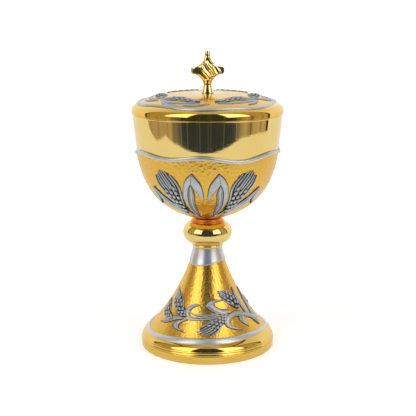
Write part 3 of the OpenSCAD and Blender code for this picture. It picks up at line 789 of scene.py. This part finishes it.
def upper_collar():
    """A short neck above a half-round lip."""
    r, lip_r, top = 11.8, 0.75, BOWL_LOW - 1.02
    lip = arc([r + lip_r, KNOP_TOP + lip_r], lip_r, -88, 86, 16)
    neck_low = KNOP_TOP + 2 * lip_r
    neck = rounded([lip[-1], [r, neck_low], [r, neck_low + 0.9], [r - 0.6, top]], 0.4, closed=False)
    profile = np.vstack([[[SPIGOT_R, KNOP_TOP]], lip, neck[1:], [[SPIGOT_R, top]]])
    # the collar's red-orange colour is a painted reflection of warm bounced light
    lathe("upper_collar", "turned", dense(profile, 0.4), gold_with_painted_bounce)


# ---- cup

def cup_liner():
    """One spun sheet: outer wall, rounded lip, inner wall and floor."""
    r, z, nr, nz = on_bowl.along(np.linspace(0, 1, 150) * on_bowl.length[-1])
    outer, inner = np.stack([r, z], 1), np.stack([r - LINER_WALL * nr, z - LINER_WALL * nz], 1)
    outer, inner = outer[outer[:, 1] < RIM_Z - 0.5], inner[inner[:, 1] < RIM_Z - 0.5][::-1]
    lip = arc([RIM_R - LINER_WALL / 2, RIM_Z - LINER_WALL / 2 + 0.02], LINER_WALL / 2, 0, 180, 9)
    profile = np.vstack([[[0, BOWL_LOW]], dense([[0.5, BOWL_LOW], outer[0]], 1.5), outer, lip, inner,
                         dense([inner[-1], [0, inner[-1, 1]]], 1.5)])
    lathe("cup_liner", "polished", profile, gold, 384, closed=False)


def cup_calyx():
    segments = 860
    top = on_calyx.length_at(cup_wave(circle(segments)))
    hammered_shell("cup_calyx", on_calyx, 0.0, top, CALYX_WALL - 0.02, segments, 2.7, 0.19, hammered, 22)


def wave_wire(node, shell, path, seed):
    """An oval silver wire along a wave, drawn very slightly uneven by hand."""
    steps, sides, lift = 900, 18, 0.1
    local = np.random.default_rng(seed)
    a, b = circle(steps), np.radians(circle(sides))
    drift = sum(local.uniform(0.006, 0.02) * np.cos(np.radians(a) * k + local.uniform(0, 6))
                for k in (7, 11, 17, 23))
    r = WIRE_R * (1 + drift)[:, None]
    u = path(a)[:, None] + WIRE_BROAD * r * np.sin(b)
    make_mesh(node, "drawn", shell.place(a[:, None], u, lift + r * np.cos(b)), grid_faces(steps, sides, True),
              round_silver)


cup_ear_outline = ([[20, 117], [19.3, 124], [19.3, 131], [19.8, 138], [22.8, 145], [29, 151.3]],
                   [[23, 116], [30, 120.5], [35, 127.5], [39.5, 134.5], [43.5, 140.5], [45.8, 147.3]])
cup_blades = [
    # big folded leaf: outer arm, folded tip and the inner face, darkened with painted shade
    ([[11.2, 114], [15, 120.7], [17.5, 125.7], [18.6, 131.1], [18.3, 136.2], [17, 141.9], [14, 147.2],
      [9, 151.4]],
     [[9.6, 114], [13.5, 119.9], [15.2, 124.3], [15, 129.9], [14.4, 135.1], [13, 139.6], [12, 141.4],
      [11, 142.5]],
     {"veins": 0, "crown": 0.15, "lift": 0.95}),
    ([[9, 151.4], [5.5, 147.2], [2.5, 143], [0.9, 137.8], [0.5, 133.2], [0.9, 129.6]],
     [[11, 142.5], [9.6, 140.9], [8.2, 139.1], [5.7, 136.1], [3.2, 132.7], [0.9, 129.6]],
     {"veins": 0, "crown": 0.15, "lift": 1.0}),
    # the inner face's shade of 0.85 is painted shade, where it lies deep in the fold
    ([[13.2, 119.5], [14.9, 124.3], [14.7, 129.9], [14.1, 135.1], [12.8, 139.4], [11, 142]],
     [[8.6, 114.1], [8.5, 120.1], [9.3, 125.2], [8.9, 130.8], [8.3, 134.9], [9.4, 138.5], [11, 142]],
     {"veins": 2, "crown": -0.1, "lift": 0.55, "tilt": -0.15, "shade": 0.85}),
    # low leaf with its folded tip
    ([[12.5, 114.6], [19.5, 119], [29, 123], [36, 126.6], [41, 129.8], [46, 133.3], [52.5, 137.6]],
     [[13.5, 113.6], [24, 116.6], [34.5, 119.6], [42, 122.6], [46.5, 125.6], [48.5, 128.9], [52.5, 137.6]],
     {"veins": 2, "lift": 0.75}),
    ([[52.5, 137.6], [49.5, 131], [49.5, 127.6], [56.5, 122.8]],
     [[52.5, 137.6], [55.5, 134.9], [58, 128.7], [56.5, 122.8]], {"veins": 1, "lift": 0.9, "tilt": 0.1}),
]


def cup_ornament():
    leaves = Relief(on_calyx, (0, 180), mirror=True, lean=SPRAY_LEAN)
    leaves.blades(cup_blades)
    leaves.needle(even(spline([[8.5, 112], [13, 113.4], [17, 115.6], [23, 119.5]], 40), 20), 0.8, 0.8)
    leaves.build("cup_leaves", relief_silver)
    ears = Relief(on_calyx, (0, 180), mirror=True, lean=SPRAY_LEAN)
    ears.ear(*cup_ear_outline, 6, [2.4, 1.4, 1.5], grains=(0.08, 0.6), awns=7, lift=0.95, spread=0.42,
             overrun=0.08)
    ears.build("cup_wheat_ears", relief_silver)


# ---- lid

def lid_shell():
    """Hammered crown and polished shoulder and skirt in one spun sheet."""
    hole, shoulder_r, pitch, depth = 2.56, 5.0, 2.0, 0.05
    # the crown's straight end runs on until the shoulder's arc touches it
    slope = np.diff(on_lid.profile[-2:], axis=0)[0]
    slope_a = math.pi / 2 + math.atan2(slope[1], slope[0])
    run = LID_R - shoulder_r + shoulder_r * math.cos(slope_a) - LID_SLOPE[0]
    centre = [LID_R - shoulder_r, LID_SLOPE[1] + run * slope[1] / slope[0] - shoulder_r * math.sin(slope_a)]
    slope_a = math.degrees(slope_a)
    shoulder, under = arc(centre, shoulder_r, slope_a, 0, 16), arc(centre, shoulder_r - LID_WALL, 0, slope_a, 8)
    skirt = rounded([[LID_R, centre[1]], [LID_R, LID_LOW], [LID_R - LID_WALL, LID_LOW],
                     [LID_R - LID_WALL, centre[1]]], [0, 0.25, 0.25, 0])
    end = on_lid.length[-1]
    s = np.linspace(0, end, 118)[:-1, None]
    r, z, nr, nz = on_lid.along(s)
    ri, zi, nri, nzi = on_lid.along(np.linspace(end, 0, 50)[:, None])
    profile = np.vstack([[[hole, LID_TOP]], np.hstack([r, z]), shoulder[:-1], dense(skirt, 0.8)[:-1], under[:-1],
                         np.hstack([ri - LID_WALL * nri, zi - LID_WALL * nzi]), [[hole, LID_TOP - LID_WALL]]])
    a = circle(800)
    verts = around(a, profile[:, :1], profile[:, 1:])
    crown = slice(1, len(s) + 1)
    marks = hammer_depth(hammer_field(on_lid, 4.0, end, pitch, 23), verts[crown], pitch)
    inside = np.clip((on_lid.length_at(lid_wave(a)) - s) / 0.8, 0, 1)
    mark = np.zeros(verts.shape[:2])
    mark[crown] = inside * np.clip((s - 2) / 6, 0, 1)
    verts[crown] += (depth * (marks - 1) * mark[crown])[..., None] * around(a, nr, nz)
    make_mesh("lid_shell", "spun", verts, grid_faces(len(profile), len(a), True), lid_gold, mark=mark)


def locating_ring():
    """Ring that sits on the cup's rim and reaches a little way into the cup."""
    out_r, in_r, wall = LID_R - LID_WALL - 0.05, RIM_R - 2, 1.0
    profile = rounded([[in_r - wall, RING_IN_LOW], [in_r, RING_IN_LOW], [in_r, RIM_Z], [out_r, RIM_Z],
                       [out_r, RING_IN_TOP], [out_r - wall, RING_IN_TOP], [out_r - wall, RIM_Z + wall],
                       [in_r - wall, RIM_Z + wall]], 0.25)
    lathe("lid_locating_ring", "turned", dense(profile, 0.8), gold, 320)


lid_ear_outline = ([[5, 43], [18, 42.8], [32, 41.5], [45, 41.5], [55, 43]],
                   [[5, 40.8], [17, 36.8], [32, 31.5], [47, 32.5], [58, 36.5]])
lid_blades = [
    ([[8, 45], [22, 46], [36, 46], [50, 44.8], [61, 44]],
     [[9, 43.3], [24, 43.6], [38, 43], [50, 42.2], [61, 44]], {}),
    ([[61, 44], [54, 47.4], [46, 49.3], [38.5, 49.3]], [[61, 44], [52, 44.6], [45, 46.6], [38.5, 49.3]],
     {"lift": 0.6}),
    ([[-22, 49], [-14, 50.2], [-6, 49], [3, 45]], [[-22, 49], [-13, 46.4], [-6, 45.4], [3, 45]], {"lift": 0.55}),
    ([[-12, 44.8], [-28, 46.8], [-44, 46.5], [-58, 42]], [[-12, 43], [-27, 43.6], [-43, 42.8], [-58, 42]], {}),
    ([[-58, 38.5], [-46, 45.5], [-34, 48.5], [-18, 50.6]],
     [[-58, 38.5], [-47, 47.6], [-34, 50.6], [-18, 50.6]], {}),
]


def lid_ornament():
    turns = (0, 120, 240)
    leaves = Relief(on_lid, turns)
    leaves.blades(lid_blades, lift=0.4, crown=0.15, veins=2, rim=0.12, edge=0.5)
    leaves.build("lid_leaves", lid_silver)
    ears = Relief(on_lid, turns, mirror=True)
    ears.ear(*lid_ear_outline, 5, [2.2, 1.1, 0.8], grains=(0.1, 0.7), lift=0.45)
    ears.build("lid_wheat_ears", lid_silver)


# ---- finial

def finial_outline():
    """Half outline of the cross from its foot to its top: half width and height."""
    steps = 60
    upper, lower, bite = [CROSS_HALF - 1.0, CROSS_TOP - 2.5], [CROSS_HALF - 0.1, LID_TOP + 4.9], 10.0
    foot = [[r, LID_TOP + h]
            for r, h in ((4.7, 0.02), (4.9, 0.2), (4.75, 0.8), (4.3, 1.9), (3.64, 4.3), (3.25, 6.6))]
    arm_low, arm_high = lower[1] + bite, upper[1] - bite
    tip = [[CROSS_HALF - 0.5, arm_low + 0.25], [CROSS_HALF, arm_low + 1.5], [CROSS_HALF, arm_high - 1.5],
           [CROSS_HALF - 0.5, arm_high - 0.25]]
    low_bite, high_bite = arc(lower, bite, 162, 96, steps), arc(upper, bite, 264, 181, steps)
    top = [[2.0, CROSS_TOP - 0.6], [1.75, CROSS_TOP - 0.12], [1.2, CROSS_TOP]]
    return np.vstack([foot, low_bite, tip, high_bite, top])


def finial():
    """A cast cross with pillowed arms that twist into diagonal ridges, on a round waisted foot."""
    line = even(spline(finial_outline(), 900), 300)
    w, z = line[:, :1], line[:, 1:]
    arm_z = (CROSS_TOP + LID_TOP) / 2 + 1.2
    thick = np.interp(z, [LID_TOP + 6, LID_TOP + 11, arm_z, CROSS_TOP - 4, CROSS_TOP], [9, 3.1, 3.3, 2.2, 1.5])
    thick = np.minimum(thick, w)
    phi = np.radians(circle(160))
    power = 2 / np.interp(w, [3.2, 7], [2.0, 2.9])
    x = w * np.sign(np.cos(phi)) * np.abs(np.cos(phi)) ** power
    side = np.sign(np.sin(phi)) * np.abs(np.sin(phi)) ** power
    h = z - arm_z
    q = (1.1 * x + h) / 1.49 + 0.02 * (x - h) * np.abs(x - h) / 2

    def ridge(at, width):
        return np.exp(-((q - at) / width) ** 2)

    swirl = 0.9 * ridge(2.4, 1.15) + 0.9 * ridge(-2.4, 1.15) - 0.8 * ridge(0.0, 1.0) - 0.5 * ridge(5.2, 1.3)
    fade = np.clip(1.3 - np.hypot(x, h) / 11, 0, 1) * np.clip((h + 11) / 5, 0, 1)
    # each face leans away from its dark side, so that one arm catches the light
    taper = 0.3 * np.clip(-x * np.sign(side) - 3.5, 0, None) + 0.2 * np.clip(h + 3, 0, 6)
    lean = np.clip((8 - np.abs(h)) / 3, 0, 1) * np.clip(-x * np.sign(side) / 5, 0, 1)
    y = side * np.maximum(thick + swirl * fade * np.abs(side) - taper * lean, 0.5)
    verts = np.stack([x, y, z + 0 * x], -1).reshape(-1, 3)
    rings, cols = x.shape
    low, high, top = len(verts), len(verts) + 1, len(verts) - cols
    faces = grid_faces(rings, cols)
    faces += [[low, (k + 1) % cols, k] for k in range(cols)]
    faces += [[high, top + k, top + (k + 1) % cols] for k in range(cols)]
    make_mesh("finial_cross", "cast", np.vstack([verts, [[0, 0, line[0, 1]], [0, 0, line[-1, 1]]]]), faces,
              finial_gold)


# ---- carried-over hardware

def hardware():
    """The rod, screw, boss, washers and nuts keep their CAD shapes."""
    for node in [node for node, slot in SLOT_OF.items() if slot == "steel"]:
        materials = frame["nodes"][node].data.materials
        materials.clear()
        materials.append(steel)


# ---- studio

ROOM_HALF = 107.0  # azimuth at which the dim room ends, in degrees
# outline of the lit sheet round the front of the object, in heights of the object
SHEET_EDGE = [(-3.3, 0.5), (-2.5, -0.3), (-2.4, -1.1), (-1.4, -1.56), (-0.55, -1.7), (0.1, -1.75), (0.8, -1.76),
              (1.5, -1.68), (1.95, -1.5), (2.5, -0.95), (2.85, -0.35), (3.2, 1.0)]


class World(Nodes):
    """The surroundings as mirrors see them, worked out from azimuth and elevation in degrees."""

    def __init__(self, name):
        bpy.context.scene.world = bpy.data.worlds.new(name)
        super().__init__(bpy.context.scene.world)
        way = self.add("ShaderNodeTexCoord").outputs["Generated"]
        x, y, z = self.add("ShaderNodeSeparateXYZ", {0: way}).outputs
        degrees = math.degrees(1)
        self.azimuth = self.times(self.math("ARCTAN2", x, self.times(y, -1.0)), degrees)
        self.elevation = self.times(self.math("ARCSINE", z), degrees)

    def step(self, value, low, high):
        """0 below low, 1 above high, smooth between."""
        inputs = {"Value": value, "From Min": low, "From Max": high}
        return self.add("ShaderNodeMapRange", inputs, interpolation_type="SMOOTHSTEP").outputs["Result"]

    def inverse(self, value):
        return self.less(1.0, value)

    def window(self, value, low, high, soft):
        """1 between low and high, 0 outside."""
        above = self.step(value, low - soft, low + soft)
        return self.times(above, self.inverse(self.step(value, high - soft, high + soft)))

    def blend(self, a, b, share):
        """a where share is 0, b where it is 1."""
        return self.plus(self.times(a, self.inverse(share)), self.times(b, share))

    def stripes(self, scale, detail=2.0):
        """Upright stripes that differ with azimuth."""
        inputs = {"W": self.azimuth, "Scale": scale, "Detail": detail}
        return self.add("ShaderNodeTexNoise", inputs, noise_dimensions="1D").outputs[0]


def studio_world():
    """Soft white studio. Mirrors also see two softboxes and the dim room behind the camera."""
    w = World("studio")
    away = w.math("ABSOLUTE", w.azimuth)
    boxes = w.times(w.window(w.elevation, 10.0, 70.0, 3.0), w.window(away, 29.0, 67.0, 2.5))
    # the room: a dark middle round the camera that spreads low down, and dim warm walls with black edges
    low_middle = w.times(w.inverse(w.step(away, 34.0, 64.0)), w.inverse(w.step(w.elevation, 4.0, 12.0)))
    middle = w.math("MAXIMUM", w.inverse(w.step(away, 24.0, 30.0)), low_middle)
    edge = w.window(away, 102.0, ROOM_HALF, 0.8)
    drapes = w.times(w.step(w.stripes(0.08), 0.1, 0.62), 0.48)
    walls = w.times(w.inverse(w.math("MAXIMUM", middle, edge)), drapes)
    streaks = w.plus(w.times(w.step(w.stripes(0.3, 4.0), 0.56, 0.76), 0.35), 0.055)
    dim = w.plus(w.plus(walls, 0.03), w.times(middle, streaks))
    # where mirrors see the room: up to its edges, below its ceiling, and not in the softboxes
    outside = w.step(away, ROOM_HALF - 1.0, ROOM_HALF + 1.0)
    room = w.times(w.inverse(w.step(w.elevation, 72.0, 78.0)), w.inverse(outside))
    room = w.times(w.inverse(boxes), room)
    sky = w.less(0.95, w.times(w.step(w.elevation, 20.0, 70.0), 0.4))
    light = w.blend(w.blend(sky, 2.1, boxes), dim, room)
    tint = w.mix((1, 1, 1), (1, 0.82, 0.58), room)
    tint = w.mix(tint, (0.42, 0.55, 0.9), w.times(middle, room))
    # the camera itself sees plain white
    to_camera = w.add("ShaderNodeLightPath").outputs["Is Camera Ray"]
    shown = {"Color": w.mix(tint, (1, 1, 1), to_camera), "Strength": w.blend(light, 1.05, to_camera)}
    background = w.add("ShaderNodeBackground", shown)
    w.add("ShaderNodeOutputWorld", {0: background.outputs[0]})


def sheet_material():
    """The lit paper floor as mirrors see it, with a painted shadow that makes it a little darker close to the
    object.
    """
    m = Material("studio_sheet")
    position = m.add("ShaderNodeNewGeometry").outputs["Position"]
    reach = m.add("ShaderNodeVectorMath", {0: position}, operation="LENGTH").outputs["Value"]
    # painted contact shadow: the sheet's glow drops close to the object
    near = m.ramp(m.times(reach, 5.0), (0.27, 0.76), (0.7, 0.88))
    return m.shade("ShaderNodeEmission", Color=m.mix(near, m.cloud(6, 3, 0.97, 1.0), 1.0, "MULTIPLY"))


def floor_material():
    m = Material("studio_floor")
    return m.shade("ShaderNodeBsdfPrincipled", Base_Color=m.cloud(3, 2, 0.86, 0.9), Roughness=0.7,
                   Emission_Color=(1, 1, 1), Emission_Strength=0.4)


def stage_plane(name, outline, z, material):
    plane = new_object(name, [(x, y, z) for x, y in outline], [list(range(len(outline)))], material)
    return plane


def studio():
    """A pale floor, and the lit sheet that mirrors see in its place, in heights of the object."""
    height = CROSS_TOP * MM
    side, back = 40 * height, 14
    floor = stage_plane("floor", [(-side, -side), (side, -side), (side, side), (-side, side)], -0.00015,
                        floor_material())
    floor.visible_glossy = False
    outline = SHEET_EDGE + [(back, 0.6 * back), (back, back), (-back, back), (-back, 0.3 * back)]
    outline = [(x * height, y * height) for x, y in outline]
    sheet = stage_plane("floor_sheet", outline, -0.0001, sheet_material())
    for flag in ("visible_camera", "visible_diffuse", "visible_shadow", "visible_transmission"):
        setattr(sheet, flag, False)
    studio_world()


def camera():
    """The front view from slightly above, at just over three heights away."""
    height = CROSS_TOP * MM
    data = bpy.data.cameras.new("camera")
    data.lens = 82.64
    data.shift_x = 0.0012
    cam = bpy.data.objects.new("camera", data)
    cam.location = (0, -3.157 * height, 1.168 * height)
    cam.rotation_euler = (math.radians(90 - 12.4), 0, 0)
    bpy.context.scene.collection.objects.link(cam)
    bpy.context.scene.camera = cam
    bpy.context.scene.view_settings.view_transform = "Standard"


# ---- build

for build in (foot_ring, foot_cone, foot_band, stem_sleeve, foot_ornament, lower_collar, knop, upper_collar,
              cup_liner, cup_calyx):
    build()
wave_wire("cup_wave_wire", on_calyx, cup_wave, 31)
cup_ornament()
lid_shell()
locating_ring()
wave_wire("lid_wave_wire", on_lid, lid_wave, 32)
for build in (lid_ornament, finial, hardware, camera, studio):
    build()
